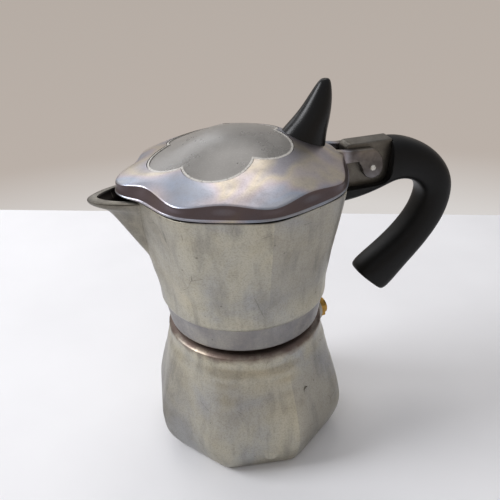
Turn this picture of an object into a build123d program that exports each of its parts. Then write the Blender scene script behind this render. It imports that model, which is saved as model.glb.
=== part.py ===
"""Three-cup moka pot: boiler, funnel, seal, collector, lid, handle and safety valve.

Millimetres. Z up, origin on the pot's axis in the plane of the boiler's base.
The handle and hinge lie along +X and the spout along -X.
"""

import os
from math import atan2, cos, radians, sin

from build123d import *

os.makedirs("parts", exist_ok=True)

# ---------------------------------------------------------------- driving sizes
SIDES = 8
BOILER_TURN = -8.4          # where the thread stops the boiler, against the collector's facets
BASE_FLAT = 39.2            # centre to facet at the foot
HIP_Z = 9.0                 # top of the foot's bevel
HIP_FLAT = 42.6
BELLY_Z = 20.0              # widest height
BELLY_FLAT = 44.3
SHOULDER_R = 36.6
SHOULDER_Z = 63.0
BOILER_WALL = 2.8
NECK_BORE_R = 27.4
NECK_HEIGHT = 13.5          # neck above the shoulder

COLLAR_BOTTOM_R = 35.1
COLLAR_TOP_R = 37.2
COLLAR_HEIGHT = 12.4
BODY_BOTTOM_R = 37.9
RIM_FLAT = 46.6             # centre to facet at the rim
BODY_HEIGHT = 55.3          # from the top of the collar to the rim
CHAMBER_WALL = 2.6

LID_LOBE_R = 49.3
LOBE_HALF_ANGLE = 6.43
LID_SKIN = 2.2
WINDOW_CENTRE_X = -7.3
WINDOW_CUSP_R = 24.8
WINDOW_TIP_R = 31.4
PETALS = 5

PIN_X = 60.0
PIN_DROP = 2.5              # pin below the rim
PIN_R = 1.4
LUG_HALF_WIDTH = 4.2
EAR_THICKNESS = 3.1
HANDLE_HALF_WIDTH = 8.7

VALVE_DROP = 13.0           # valve below the shoulder
VALVE_BODY_R = 3.4
VALVE_HEX_ACROSS = 10.0
VALVE_SEAT_R = 41.8         # outer face of the boss the valve sits on

# ---------------------------------------------------------------- named clearances
RUNNING_GAP = 0.05          # pin in its bore, plunger in its bore
SLIP_GAP = 0.35             # funnel in neck, collar over thread, gasket in collar
SEAT_GAP = 0.30             # window in lid, handle over lug
SWING_GAP = 0.50            # ears past lug, lid past rim
PRESS = 0.01                # interference of pressed or self-cut parts

# ---------------------------------------------------------------- derived sizes
HALF_STEP = radians(180 / SIDES)
THREAD_CREST_R = COLLAR_BOTTOM_R - 2.4 - 2 * SLIP_GAP
THREAD_ROOT_R = THREAD_CREST_R - 0.9
COLLAR_BORE_R = THREAD_CREST_R + 2 * SLIP_GAP
THREAD_PITCH = 3.0
THREAD_ROWS = 3
COLLAR_BOTTOM_Z = SHOULDER_Z + 3.4
COLLAR_TOP_Z = COLLAR_BOTTOM_Z + COLLAR_HEIGHT
RIM_Z = COLLAR_TOP_Z + BODY_HEIGHT
PIN_Z = RIM_Z - PIN_DROP
VALVE_Z = SHOULDER_Z - VALVE_DROP
NECK_TOP_Z = SHOULDER_Z + NECK_HEIGHT

FUNNEL_FLANGE_T = 1.2
GASKET_BOTTOM_Z = NECK_TOP_Z + FUNNEL_FLANGE_T
GASKET_T = 2.9
GASKET_R = COLLAR_BORE_R - SLIP_GAP
GASKET_HOLE_R = GASKET_R - 6.0
PLATE_T = 0.8
PLATE_R = GASKET_HOLE_R + 2.4
CEILING_Z = GASKET_BOTTOM_Z + GASKET_T
FLOOR_Z = CEILING_Z + 2.6
FUNNEL_R = NECK_BORE_R - SLIP_GAP
BASKET_WALL = 1.0
BASKET_DEPTH = 21.0
STEM_R = 5.6
STEM_WALL = 0.9
STEM_BOTTOM_Z = 7.0
SIEVE_Z = NECK_TOP_Z - BASKET_DEPTH + 2.0

COLUMN_FOOT_R = 9.5
COLUMN_TOP_R = 6.4
COLUMN_TOP_Z = RIM_Z - 16.0
COLUMN_BORE_R = 4.0

BEAD_Z = RIM_Z + SWING_GAP
# radius and height above the lid's underside, along the top of the dome
DOME = ((0.0, 20.6), (18.0, 18.4), (27.0, 14.0), (33.0, 11.3), (41.0, 8.0), (50.0, 4.4), (56.0, 3.2))
LID_CROWN = tuple((radius, BEAD_Z + rise) for radius, rise in DOME)
EAR_Y0 = LUG_HALF_WIDTH + SWING_GAP - 0.1
EAR_Y1 = EAR_Y0 + EAR_THICKNESS
EAR_END_R = 5.0
EAR_TOP_Z = PIN_Z + 9.0
LUG_TOP_Z = PIN_Z + 11.2
LUG_END_X = PIN_X + 10.6
LUG_FRONT_X = PIN_X - 11.8
POCKET_R = 9.0
VALVE_ANGLE = BOILER_TURN + 180 / SIDES
SCREW_R = 1.5
SCREW_HEAD_R = 3.0
HANDLE_SCREW_X = PIN_X - 5.2


def octagon(z, flat, corner, turn=0.0):
    """Rounded octagon at a height: apothem, corner rounding, turn about the axis."""
    with BuildSketch(Plane.XY.offset(z)) as outline:
        RegularPolygon(radius=flat / cos(HALF_STEP), side_count=SIDES, rotation=turn)
        fillet(outline.vertices(), corner)
    return outline.sketch


def disc(z, radius, height, bore=0.0):
    """Round plate or ring rising from a height."""
    with BuildPart() as plate:
        with BuildSketch(Plane.XY.offset(z)):
            Circle(radius)
            if bore > 0:
                Circle(bore, mode=Mode.SUBTRACT)
        extrude(amount=height)
    return plate.part


def turned(points):
    """Solid of revolution about Z from (radius, height) points."""
    with BuildPart() as solid:
        with BuildSketch(Plane.XZ):
            with BuildLine():
                Polyline(*points, close=True)
            make_face()
        revolve(axis=Axis.Z)
    return solid.part


# ---------------------------------------------------------------- boiler
FACET_TURN = BOILER_TURN + 180 / SIDES
# height, apothem and corner rounding up the outside
FOOT = ((0.0, BASE_FLAT, 3.0), (HIP_Z, HIP_FLAT, 4.5))
TAPER = (
    (HIP_Z, HIP_FLAT, 4.5),
    (BELLY_Z, BELLY_FLAT, 6.0),
    (BELLY_Z + 0.35 * (SHOULDER_Z - BELLY_Z), BELLY_FLAT - 2.9, 11.0),
    (BELLY_Z + 0.65 * (SHOULDER_Z - BELLY_Z), BELLY_FLAT - 6.3, 20.0),
    (SHOULDER_Z - 3.0, SHOULDER_R, SHOULDER_R - 2.0),
)
VALVE_DIRECTION = (cos(radians(VALVE_ANGLE)), sin(radians(VALVE_ANGLE)), 0)


def valve_plane(distance):
    """Plane across the valve's axis at a distance from the pot's axis."""
    return Plane(
        origin=(distance * VALVE_DIRECTION[0], distance * VALVE_DIRECTION[1], VALVE_Z),
        x_dir=(0, 0, 1),
        z_dir=VALVE_DIRECTION,
    )


with BuildPart() as boiler:
    for height, flat, corner in FOOT:
        add(octagon(height, flat, corner, FACET_TURN))
    loft(ruled=True)
    for height, flat, corner in TAPER:
        add(octagon(height, flat, corner, FACET_TURN))
    loft()
    # rounded shoulder, narrow land and neck
    add(turned((
        (0, SHOULDER_Z - 4.0),
        (SHOULDER_R - 0.3, SHOULDER_Z - 4.0),
        (SHOULDER_R - 0.5, SHOULDER_Z - 1.6),
        (SHOULDER_R - 1.5, SHOULDER_Z),
        (SHOULDER_R - 3.4, SHOULDER_Z + 1.4),
        (THREAD_ROOT_R, SHOULDER_Z + 1.9),
        (THREAD_ROOT_R, NECK_TOP_Z),
        (0, NECK_TOP_Z),
    )))
    for row in range(THREAD_ROWS):
        crest = SHOULDER_Z + 4.2 + row * THREAD_PITCH
        add(turned((
            (THREAD_ROOT_R - 0.5, crest - 0.2),
            (THREAD_ROOT_R, crest),
            (THREAD_CREST_R, crest + 0.7),
            (THREAD_CREST_R, crest + 1.1),
            (THREAD_ROOT_R, crest + 1.8),
            (THREAD_ROOT_R - 0.5, crest + 2.0),
        )))
    # hollow with a sloping roof, open through the neck
    add(turned((
        (0, BOILER_WALL),
        (BASE_FLAT - BOILER_WALL - 1.0, BOILER_WALL),
        (HIP_FLAT - BOILER_WALL, HIP_Z),
        (BELLY_FLAT - BOILER_WALL, BELLY_Z),
        (TAPER[2][1] - BOILER_WALL, TAPER[2][0]),
        (TAPER[3][1] - BOILER_WALL, TAPER[3][0]),
        (SHOULDER_R - BOILER_WALL - 0.4, SHOULDER_Z - 5.0),
        (NECK_BORE_R, SHOULDER_Z),
        (NECK_BORE_R, NECK_TOP_Z + 1.0),
        (0, NECK_TOP_Z + 1.0),
    )), mode=Mode.SUBTRACT)
    # flat boss and hole for the safety valve
    with BuildSketch(valve_plane(VALVE_SEAT_R - 5.5)):
        Circle(VALVE_HEX_ACROSS / 2 + 1.6)
    extrude(amount=5.5)
    with BuildSketch(valve_plane(VALVE_SEAT_R - 12.0)):
        Circle(VALVE_BODY_R)
    extrude(amount=20.0, mode=Mode.SUBTRACT)
boiler.part.label = "boiler"
export_step(boiler.part, "parts/boiler.step")


# ---------------------------------------------------------------- funnel and its sieve
with BuildPart() as funnel:
    add(turned((
        (STEM_R - STEM_WALL, STEM_BOTTOM_Z),
        (STEM_R, STEM_BOTTOM_Z),
        (STEM_R, SIEVE_Z - 9.0),
        (FUNNEL_R - 2.6, SIEVE_Z - 2.0),
        (FUNNEL_R - 1.2, SIEVE_Z),
        (FUNNEL_R, NECK_TOP_Z - 3.0),
        (FUNNEL_R, NECK_TOP_Z),
        (GASKET_R - 1.4, NECK_TOP_Z),
        (GASKET_R - 1.4, GASKET_BOTTOM_Z),
        (FUNNEL_R - BASKET_WALL, GASKET_BOTTOM_Z),
        (FUNNEL_R - BASKET_WALL, NECK_TOP_Z - 3.0),
        (FUNNEL_R - BASKET_WALL - 1.2, SIEVE_Z),
        (FUNNEL_R - BASKET_WALL - 2.4, SIEVE_Z - 1.0),
        (STEM_R - STEM_WALL, SIEVE_Z - 8.4),
    )))
funnel.part.label = "funnel"
export_step(funnel.part, "parts/funnel.step")


def sieve(z, radius, thick, hole, rows, pitch):
    """Round plate with rings of small holes round a central one."""
    with BuildPart() as plate:
        add(disc(z, radius, thick))
        with BuildSketch(Plane.XY.offset(z)):
            Circle(hole)
            for row in range(1, rows + 1):
                with PolarLocations(row * pitch, 6 * row):
                    Circle(hole)
        extrude(amount=thick, mode=Mode.SUBTRACT)
    return plate.part


SIEVE_R = FUNNEL_R - BASKET_WALL - 1.2 - SEAT_GAP
with BuildPart() as funnel_sieve:
    add(sieve(SIEVE_Z, SIEVE_R, PLATE_T, 0.8, 4, 5.0))
    # narrow skirt that rests on the shoulder of the basket
    add(turned((
        (SIEVE_R - 2.6, SIEVE_Z - 0.5),
        (SIEVE_R - 1.4, SIEVE_Z - 0.5),
        (SIEVE_R - 0.4, SIEVE_Z + 0.4),
        (SIEVE_R - 2.6, SIEVE_Z + 0.4),
    )))
funnel_sieve.part.label = "funnel_sieve"
export_step(funnel_sieve.part, "parts/funnel_sieve.step")

# ---------------------------------------------------------------- gasket and filter plate
PLATE_Z = CEILING_Z - PLATE_T
with BuildPart() as gasket:
    add(turned((
        (GASKET_HOLE_R, GASKET_BOTTOM_Z),
        (GASKET_R, GASKET_BOTTOM_Z),
        (GASKET_R, CEILING_Z),
        (PLATE_R + SEAT_GAP, CEILING_Z),
        (PLATE_R + SEAT_GAP, PLATE_Z),
        (GASKET_HOLE_R, PLATE_Z),
    )))
gasket.part.label = "gasket"
export_step(gasket.part, "parts/gasket.step")

with BuildPart() as filter_plate:
    add(sieve(PLATE_Z, PLATE_R, PLATE_T, 0.7, 6, 3.6))
filter_plate.part.label = "filter_plate"
export_step(filter_plate.part, "parts/filter_plate.step")

# ---------------------------------------------------------------- collector
# height, apothem and corner rounding up the outside of the chamber
FLARE = (
    (COLLAR_TOP_Z + 0.5, BODY_BOTTOM_R - 0.2, BODY_BOTTOM_R - 1.2),
    (COLLAR_TOP_Z + 0.25 * BODY_HEIGHT, RIM_FLAT - 7.6, 33.0),
    (COLLAR_TOP_Z + 0.50 * BODY_HEIGHT, RIM_FLAT - 5.6, 28.0),
    (COLLAR_TOP_Z + 0.75 * BODY_HEIGHT, RIM_FLAT - 2.8, 23.0),
    (RIM_Z, RIM_FLAT, 20.0),
)
# height, keel distance and root half width up the spout
KEEL = (
    (COLLAR_TOP_Z + 17.0, 36.4, 3.0),
    (RIM_Z - 16.0, 51.4, 8.6),
    (RIM_Z - 8.0, 56.9, 11.2),
    (RIM_Z - 4.6, 61.6, 12.6),
    (RIM_Z - 2.8, 64.4, 13.2),
    (RIM_Z + 0.4, 64.8, 14.0),
)
SPOUT_ROOT_X = 30.0
SPOUT_WALL = 1.9


def beak(z, keel, half, tip):
    """Pointed section of the spout at a height, its rounded edge on the keel distance."""
    half_angle = atan2(half, 0.55 * (keel - SPOUT_ROOT_X))
    keel = keel + tip * (1 / sin(half_angle) - 1)
    with BuildSketch(Plane.XY.offset(z)) as outline:
        with BuildLine():
            Polyline(
                (-SPOUT_ROOT_X, -half),
                (-SPOUT_ROOT_X - 0.45 * (keel - SPOUT_ROOT_X), -half),
                (-keel, 0),
                (-SPOUT_ROOT_X - 0.45 * (keel - SPOUT_ROOT_X), half),
                (-SPOUT_ROOT_X, half),
                close=True,
            )
        make_face()
        fillet(outline.vertices().sort_by(Axis.X)[0], tip)
    return outline.sketch


with BuildPart() as chamber_space:
    for height, flat, corner in FLARE:
        add(octagon(height, flat - CHAMBER_WALL, corner - CHAMBER_WALL))
    loft()
    with BuildSketch(Plane.XY.offset(RIM_Z)):
        add(octagon(RIM_Z, FLARE[-1][1] - CHAMBER_WALL, FLARE[-1][2] - CHAMBER_WALL))
    extrude(amount=3.0)
    add(disc(COLLAR_TOP_Z, 60.0, FLOOR_Z - COLLAR_TOP_Z), mode=Mode.SUBTRACT)

with BuildPart() as spout_space:
    for height, keel, half in KEEL[1:]:
        add(beak(height, keel - 1.4 * SPOUT_WALL, half - SPOUT_WALL, 1.5))
    loft(ruled=True)
    add(extrude(beak(RIM_Z + 0.4, KEEL[-1][1] - 1.4 * SPOUT_WALL, KEEL[-1][2] - SPOUT_WALL, 1.5), 3.0))

LUG_FOOT_Z = RIM_Z - 16.5
with BuildPart() as collector:
    for height, flat, corner in FLARE:
        add(octagon(height, flat, corner))
    loft()
    for height, keel, half in KEEL:
        add(beak(height, keel, half, 2.6))
    loft(ruled=True)
    # collar, with a fine step below the facets
    add(turned((
        (0, COLLAR_BOTTOM_Z),
        (COLLAR_BOTTOM_R, COLLAR_BOTTOM_Z),
        (COLLAR_BOTTOM_R + 0.4, COLLAR_BOTTOM_Z + 1.2),
        (COLLAR_TOP_R, COLLAR_TOP_Z),
        (COLLAR_TOP_R, COLLAR_TOP_Z + 0.6),
        (0, COLLAR_TOP_Z + 0.6),
    )))
    # rear lug that carries the hinge and the handle
    with BuildSketch(Plane.XZ):
        with BuildLine():
            Polyline(
                (43.6, LUG_FOOT_Z),
                (LUG_END_X, LUG_FOOT_Z + 5.4),
                (LUG_END_X, LUG_TOP_Z),
                (LUG_FRONT_X + 1.5, LUG_TOP_Z),
                (LUG_FRONT_X, LUG_TOP_Z - 1.5),
                (LUG_FRONT_X, RIM_Z),
                (46.9, RIM_Z),
                close=True,
            )
        make_face()
    extrude(amount=LUG_HALF_WIDTH, both=True)
    add(chamber_space.part, mode=Mode.SUBTRACT)
    add(spout_space.part, mode=Mode.SUBTRACT)
    # column that carries the coffee up, domed over two side slots
    add(turned((
        (0, FLOOR_Z - 1.0),
        (COLUMN_FOOT_R + 6.0, FLOOR_Z - 1.0),
        (COLUMN_FOOT_R + 6.0, FLOOR_Z),
        (COLUMN_FOOT_R, FLOOR_Z + 2.4),
        (COLUMN_TOP_R, COLUMN_TOP_Z - 2.0),
        (COLUMN_TOP_R - 2.2, COLUMN_TOP_Z),
        (0, COLUMN_TOP_Z),
    )))
    # seal seat, shallow gathering cone and bore of the column
    add(turned((
        (0, COLLAR_BOTTOM_Z - 1.0),
        (COLLAR_BORE_R, COLLAR_BOTTOM_Z - 1.0),
        (COLLAR_BORE_R, CEILING_Z),
        (PLATE_R - 1.6, CEILING_Z),
        (COLUMN_BORE_R, CEILING_Z + 1.5),
        (COLUMN_BORE_R, COLUMN_TOP_Z - 3.0),
        (0, COLUMN_TOP_Z - 2.0),
    )), mode=Mode.SUBTRACT)
    for row in range(THREAD_ROWS):
        crest = COLLAR_BOTTOM_Z + 2.3 + row * THREAD_PITCH
        add(turned((
            (COLLAR_BORE_R + 0.3, crest),
            (COLLAR_BORE_R - SLIP_GAP, crest + 0.6),
            (COLLAR_BORE_R - SLIP_GAP, crest + 1.0),
            (COLLAR_BORE_R + 0.3, crest + 1.6),
        )))
    with BuildSketch(Plane.XZ):
        with Locations((0, COLUMN_TOP_Z - 6.2)):
            RectangleRounded(4.4, 5.0, 1.5)
    extrude(amount=20.0, both=True, mode=Mode.SUBTRACT)
    with BuildSketch(Plane.XZ):
        with Locations((PIN_X, PIN_Z)):
            Circle(PIN_R + RUNNING_GAP)
    extrude(amount=20.0, both=True, mode=Mode.SUBTRACT)
    with BuildSketch(Plane.XY.offset(LUG_FOOT_Z - 10.0)):
        with Locations((HANDLE_SCREW_X, 0)):
            Circle(SCREW_R - PRESS)
    extrude(amount=21.0, mode=Mode.SUBTRACT)
collector.part.label = "collector"
export_step(collector.part, "parts/collector.step")


# ---------------------------------------------------------------- lid
BITE_FOOT_Z = BEAD_Z + 1.5
BITE_FOOT_R = 40.0
BITE_SLOPE = 0.48
BITE_HEIGHT = 14.0
BITE_CENTRE = 46.7 + BITE_FOOT_R
TONGUE_TIP = 53.6
TONGUE_HALF = 6.2
HOLLOW_R = 41.6
NOTCH_X = 43.6
KNOB_X = 29.0
BOSS_FOOT_Z = BEAD_Z + 7.0
WASHER_T = 0.8
WINDOW_LEDGE_T = 0.9


def crown(drop, radius=60.0):
    """Solid below the crown line lowered by a distance, out to a radius."""
    top, rim = LID_CROWN[0], LID_CROWN[-1]
    with BuildPart() as solid:
        with BuildSketch(Plane.XZ):
            with BuildLine():
                Spline(
                    *((r, z - drop) for r, z in LID_CROWN),
                    tangents=((1.0, 0.0), (1.0, -0.12)),
                    tangent_scalars=(0.6, 0.6),
                )
                Polyline(
                    (rim[0], rim[1] - drop),
                    (rim[0], BEAD_Z - 20.0),
                    (0.0, BEAD_Z - 20.0),
                    (0.0, top[1] - drop),
                )
            make_face()
        revolve(axis=Axis.Z)
        add(disc(BEAD_Z - 30.0, radius, 60.0), mode=Mode.INTERSECT)
    return solid.part


def flower(z, cusp, tip, height):
    """Upright prism with the window's petals: cusp and tip radii."""
    step = 180 / PETALS
    with BuildPart() as prism:
        with BuildSketch(Plane.XY.offset(z)):
            with Locations((WINDOW_CENTRE_X, 0)):
                with BuildSketch(mode=Mode.PRIVATE) as petals:
                    with BuildLine():
                        for petal in range(PETALS):
                            start = 2 * petal * step
                            ThreePointArc(
                                (cusp * cos(radians(start)), cusp * sin(radians(start))),
                                (tip * cos(radians(start + step)), tip * sin(radians(start + step))),
                                (
                                    cusp * cos(radians(start + 2 * step)),
                                    cusp * sin(radians(start + 2 * step)),
                                ),
                            )
                    make_face()
                add(petals.sketch)
        extrude(amount=height)
    return prism.part


with BuildPart() as lid:
    with BuildSketch(Plane.XY.offset(BEAD_Z)) as lobed:
        corners = []
        for corner in range(SIDES):
            for side in (-1, 1):
                angle = radians(45 * corner + side * LOBE_HALF_ANGLE)
                corners.append((LID_LOBE_R * cos(angle), LID_LOBE_R * sin(angle)))
        with BuildLine():
            Polyline(*corners, close=True)
        make_face()
        fillet(lobed.vertices(), 6.0)
        with Locations((-TONGUE_TIP + TONGUE_HALF, 0)):
            Circle(TONGUE_HALF)
    extrude(amount=30.0)
    add(crown(0.0), mode=Mode.INTERSECT)
    # scalloped upper edge between the lobes, over a plain bead
    bites = []
    for bite in range(SIDES):
        angle = radians(45 * bite + 22.5)
        bites.append((BITE_CENTRE * cos(angle), BITE_CENTRE * sin(angle), BITE_FOOT_Z))
    with Locations(*bites):
        Cone(
            BITE_FOOT_R,
            BITE_FOOT_R + BITE_SLOPE * BITE_HEIGHT,
            BITE_HEIGHT,
            align=(Align.CENTER, Align.CENTER, Align.MIN),
            mode=Mode.SUBTRACT,
        )
    add(crown(LID_SKIN, HOLLOW_R), mode=Mode.SUBTRACT)
    add(flower(BEAD_Z, WINDOW_CUSP_R, WINDOW_TIP_R, 40.0), mode=Mode.SUBTRACT)
    # boss for the knob's screw, hung from the skin
    with BuildSketch(Plane.XY.offset(BOSS_FOOT_Z)):
        with Locations((KNOB_X, 0)):
            Circle(4.6)
    extrude(amount=4.0)
    with BuildSketch(Plane.XY.offset(BEAD_Z)):
        with Locations((KNOB_X, 0)):
            Circle(SCREW_R + SEAT_GAP)
    extrude(amount=40.0, mode=Mode.SUBTRACT)
    # hinge ears
    with BuildSketch(Plane.XZ):
        with Locations((PIN_X, PIN_Z)):
            Circle(EAR_END_R)
        with BuildLine():
            Polyline(
                (40.6, BEAD_Z + 0.7),
                (53.0, BEAD_Z + 0.7),
                (55.1, PIN_Z - 0.6),
                (PIN_X, PIN_Z - 0.6),
                (PIN_X + EAR_END_R, PIN_Z),
                (PIN_X + EAR_END_R - 0.6, PIN_Z + 4.4),
                (PIN_X + EAR_END_R - 2.6, EAR_TOP_Z - 2.0),
                (PIN_X + EAR_END_R - 5.0, EAR_TOP_Z),
                (48.0, EAR_TOP_Z + 0.2),
                (40.6, EAR_TOP_Z + 1.2),
                close=True,
            )
        make_face()
    extrude(amount=EAR_Y1, both=True)
    with BuildSketch(Plane.XY.offset(BEAD_Z - 20.0)):
        with Locations((NOTCH_X, 0)):
            Rectangle(40.0, 2 * EAR_Y0, align=(Align.MIN, Align.CENTER))
    extrude(amount=60.0, mode=Mode.SUBTRACT)
    with BuildSketch(Plane.XZ):
        with Locations((PIN_X, PIN_Z)):
            Circle(PIN_R - PRESS)
    extrude(amount=20.0, both=True, mode=Mode.SUBTRACT)
lid.part.label = "lid"
export_step(lid.part, "parts/lid.step")

with BuildPart() as lid_window:
    add(crown(0.3))
    add(flower(BEAD_Z, WINDOW_CUSP_R - SEAT_GAP, WINDOW_TIP_R - SEAT_GAP, 40.0), mode=Mode.INTERSECT)
    add(crown(LID_SKIN + WINDOW_LEDGE_T), mode=Mode.SUBTRACT)
    with BuildPart(mode=Mode.PRIVATE) as rim_below:
        add(crown(LID_SKIN))
        add(flower(BEAD_Z, WINDOW_CUSP_R + 1.6, WINDOW_TIP_R + 1.6, 40.0), mode=Mode.INTERSECT)
        add(crown(LID_SKIN + WINDOW_LEDGE_T), mode=Mode.SUBTRACT)
    add(rim_below.part)
lid_window.part.label = "lid_window"
export_step(lid_window.part, "parts/lid_window.step")

# ---------------------------------------------------------------- knob and its screw
# height above the lid's underside, centre distance, half length along X and half width along Y
HORN = (
    (6.4, 27.2, 11.8, 8.2),
    (14.4, 29.2, 10.9, 7.6),
    (20.9, 33.3, 8.1, 6.5),
    (26.9, 36.1, 6.0, 5.1),
    (31.9, 37.9, 4.2, 3.7),
    (35.4, 38.8, 2.4, 2.2),
    (37.2, 39.2, 1.0, 0.9),
)
KNOB_BORE_Z = BEAD_Z + 23.4
with BuildPart() as knob:
    for height, centre, half_length, half_width in HORN:
        with BuildSketch(Plane.XY.offset(BEAD_Z + height)):
            with Locations((centre, 0)):
                Ellipse(half_length, half_width)
    loft()
    add(crown(0.0), mode=Mode.SUBTRACT)
    with BuildSketch(Plane.XY.offset(BEAD_Z)):
        with Locations((KNOB_X, 0)):
            Circle(SCREW_R - PRESS)
    extrude(amount=KNOB_BORE_Z - BEAD_Z, mode=Mode.SUBTRACT)
knob.part.label = "knob"
export_step(knob.part, "parts/knob.step")

with BuildPart() as knob_washer:
    with BuildSketch(Plane.XY.offset(BOSS_FOOT_Z - WASHER_T)):
        with Locations((KNOB_X, 0)):
            Circle(SCREW_HEAD_R + 0.9)
            Circle(SCREW_R + SEAT_GAP, mode=Mode.SUBTRACT)
    extrude(amount=WASHER_T)
knob_washer.part.label = "knob_washer"
export_step(knob_washer.part, "parts/knob_washer.step")


def pan_screw(foot_z, x, length, head_h):
    """Pan-head screw standing on its slotted head."""
    with BuildPart() as screw:
        with BuildSketch(Plane.XY.offset(foot_z)):
            with Locations((x, 0)):
                Circle(SCREW_HEAD_R)
        extrude(amount=head_h)
        chamfer(screw.faces().sort_by(Axis.Z)[0].edges(), 0.5)
        with BuildSketch(Plane.XY.offset(foot_z)):
            with Locations((x, 0)):
                Rectangle(2 * SCREW_HEAD_R + 1.0, 0.8)
        extrude(amount=0.8, mode=Mode.SUBTRACT)
        with BuildSketch(Plane.XY.offset(foot_z + head_h)):
            with Locations((x, 0)):
                Circle(SCREW_R)
        extrude(amount=length)
        chamfer(screw.faces().sort_by(Axis.Z)[-1].edges(), 0.5)
    return screw.part


HEAD_H = 1.9
with BuildPart() as knob_screw:
    add(pan_screw(BOSS_FOOT_Z - WASHER_T - HEAD_H, KNOB_X, KNOB_BORE_Z - BOSS_FOOT_Z, HEAD_H))
knob_screw.part.label = "knob_screw"
export_step(knob_screw.part, "parts/knob_screw.step")

# ---------------------------------------------------------------- hinge pin
with BuildPart() as hinge_pin:
    with BuildSketch(Plane.XZ):
        with Locations((PIN_X, PIN_Z)):
            Circle(PIN_R)
    extrude(amount=EAR_Y1 + 0.3, both=True)
    chamfer(hinge_pin.edges().filter_by(GeomType.CIRCLE), 0.3)
hinge_pin.part.label = "hinge_pin"
export_step(hinge_pin.part, "parts/hinge_pin.step")

# ---------------------------------------------------------------- handle and its screw
WALL_GAP = 0.6
WALL_X = 46.4 + WALL_GAP     # handle's front end, short of the chamber wall
POCKET_FLOOR_Z = PIN_Z - POCKET_R
ARM_FOOT_Z = RIM_Z - 19.1
HANDLE_W = 2 * HANDLE_HALF_WIDTH
# centre along X and its height from the pin, heading below the horizontal in degrees, depth, width, rounding
GRIP = (
    (PIN_X + 6.4, -0.6, 0.0, 21.6, HANDLE_W, 4.6),
    (PIN_X + 15.5, 0.4, 3.0, 19.8, HANDLE_W, 5.6),
    (87.0, -3.6, 31.0, 17.6, HANDLE_W, 6.8),
    (94.4, -11.7, 60.0, 16.6, HANDLE_W, 7.2),
    (95.8, -20.0, 88.0, 16.0, HANDLE_W, 7.2),
    (92.6, -30.8, 106.0, 15.8, HANDLE_W, 7.2),
    (84.3, -42.0, 124.0, 15.8, HANDLE_W, 7.2),
    (75.8, -50.4, 131.0, 17.0, HANDLE_W, 7.4),
    (68.8, -57.0, 132.0, 20.0, HANDLE_W, 7.6),
    (65.4, -60.2, 133.0, 19.6, HANDLE_W - 0.8, 7.4),
    (63.6, -62.0, 133.0, 15.6, HANDLE_W - 4.6, 6.0),
)
HANDLE_SCREW_FOOT_Z = ARM_FOOT_Z + 3.2
with BuildPart() as handle:
    for x, z, heading, depth, width, corner in GRIP:
        along = (cos(radians(heading)), 0, -sin(radians(heading)))
        with BuildSketch(Plane(origin=(x, 0, PIN_Z + z), x_dir=(0, 1, 0), z_dir=along)):
            RectangleRounded(width, depth, corner)
    loft()
    # forward arm under the lug
    with BuildPart(mode=Mode.PRIVATE) as arm:
        with BuildSketch(Plane.XZ):
            with BuildLine():
                Polyline(
                    (WALL_X - 1.6, ARM_FOOT_Z),
                    (PIN_X - 1.0, ARM_FOOT_Z + 1.6),
                    (PIN_X + 7.0, ARM_FOOT_Z + 4.6),
                    (PIN_X + 12.0, ARM_FOOT_Z + 6.8),
                    (PIN_X + 12.0, POCKET_FLOOR_Z),
                    (WALL_X + 0.8, POCKET_FLOOR_Z),
                    close=True,
                )
            make_face()
        extrude(amount=HANDLE_HALF_WIDTH, both=True)
        fillet(arm.edges().filter_by(Axis.Y, reverse=True).sort_by(Axis.Z)[0:2], 2.0)
    add(arm.part)
    # pocket that the ears turn in, over the full width
    with BuildSketch(Plane.XZ):
        with Locations((PIN_X, PIN_Z)):
            Circle(POCKET_R)
            Rectangle(60.0, 60.0, align=(Align.MAX, Align.MIN))
        with Locations((PIN_X, PIN_Z - POCKET_R)):
            Rectangle(60.0, 60.0, align=(Align.MAX, Align.MIN))
        # its back leans away, so the ears clear it when the lid stands open
        with BuildLine():
            Polyline(
                (PIN_X, PIN_Z - 2.0),
                (PIN_X + POCKET_R - 0.22, PIN_Z - 2.0),
                (PIN_X + POCKET_R + 0.45, PIN_Z),
                (PIN_X + POCKET_R + 1.35, PIN_Z + 12.0),
                (PIN_X + POCKET_R + 1.35, PIN_Z + 60.0),
                (PIN_X, PIN_Z + 60.0),
                close=True,
            )
        make_face()
    extrude(amount=20.0, both=True, mode=Mode.SUBTRACT)
    # slot over the lug
    with BuildSketch(Plane.XZ):
        with BuildLine():
            Polyline(
                (WALL_X - 20.0, LUG_FOOT_Z - SEAT_GAP - 3.1),
                (43.6, LUG_FOOT_Z - SEAT_GAP),
                (LUG_END_X + SEAT_GAP, LUG_FOOT_Z + 5.4 - SEAT_GAP),
                (LUG_END_X + SEAT_GAP, PIN_Z + 40.0),
                (WALL_X - 20.0, PIN_Z + 40.0),
                close=True,
            )
        make_face()
    extrude(amount=LUG_HALF_WIDTH + SEAT_GAP, both=True, mode=Mode.SUBTRACT)
    with BuildSketch(Plane.XY.offset(ARM_FOOT_Z - 10.0)):
        with Locations((HANDLE_SCREW_X, 0)):
            Circle(SCREW_R + SEAT_GAP)
    extrude(amount=20.0, mode=Mode.SUBTRACT)
    with BuildSketch(Plane.XY.offset(ARM_FOOT_Z - 10.0)):
        with Locations((HANDLE_SCREW_X, 0)):
            Circle(SCREW_HEAD_R + SEAT_GAP)
    extrude(amount=10.0 + HANDLE_SCREW_FOOT_Z - ARM_FOOT_Z, mode=Mode.SUBTRACT)
handle.part.label = "handle"
export_step(handle.part, "parts/handle.step")

# ---------------------------------------------------------------- safety valve
VALVE_WASHER_T = 0.8
VALVE_HEAD_T = 4.2
VALVE_BORE_R = 2.4
VALVE_STEM_R = 1.2
VALVE_INNER = -6.5           # inner end of the housing, from the seat face
VALVE_CAP_T = 1.0
STROKE = 1.4
SEAT = VALVE_SEAT_R


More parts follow.
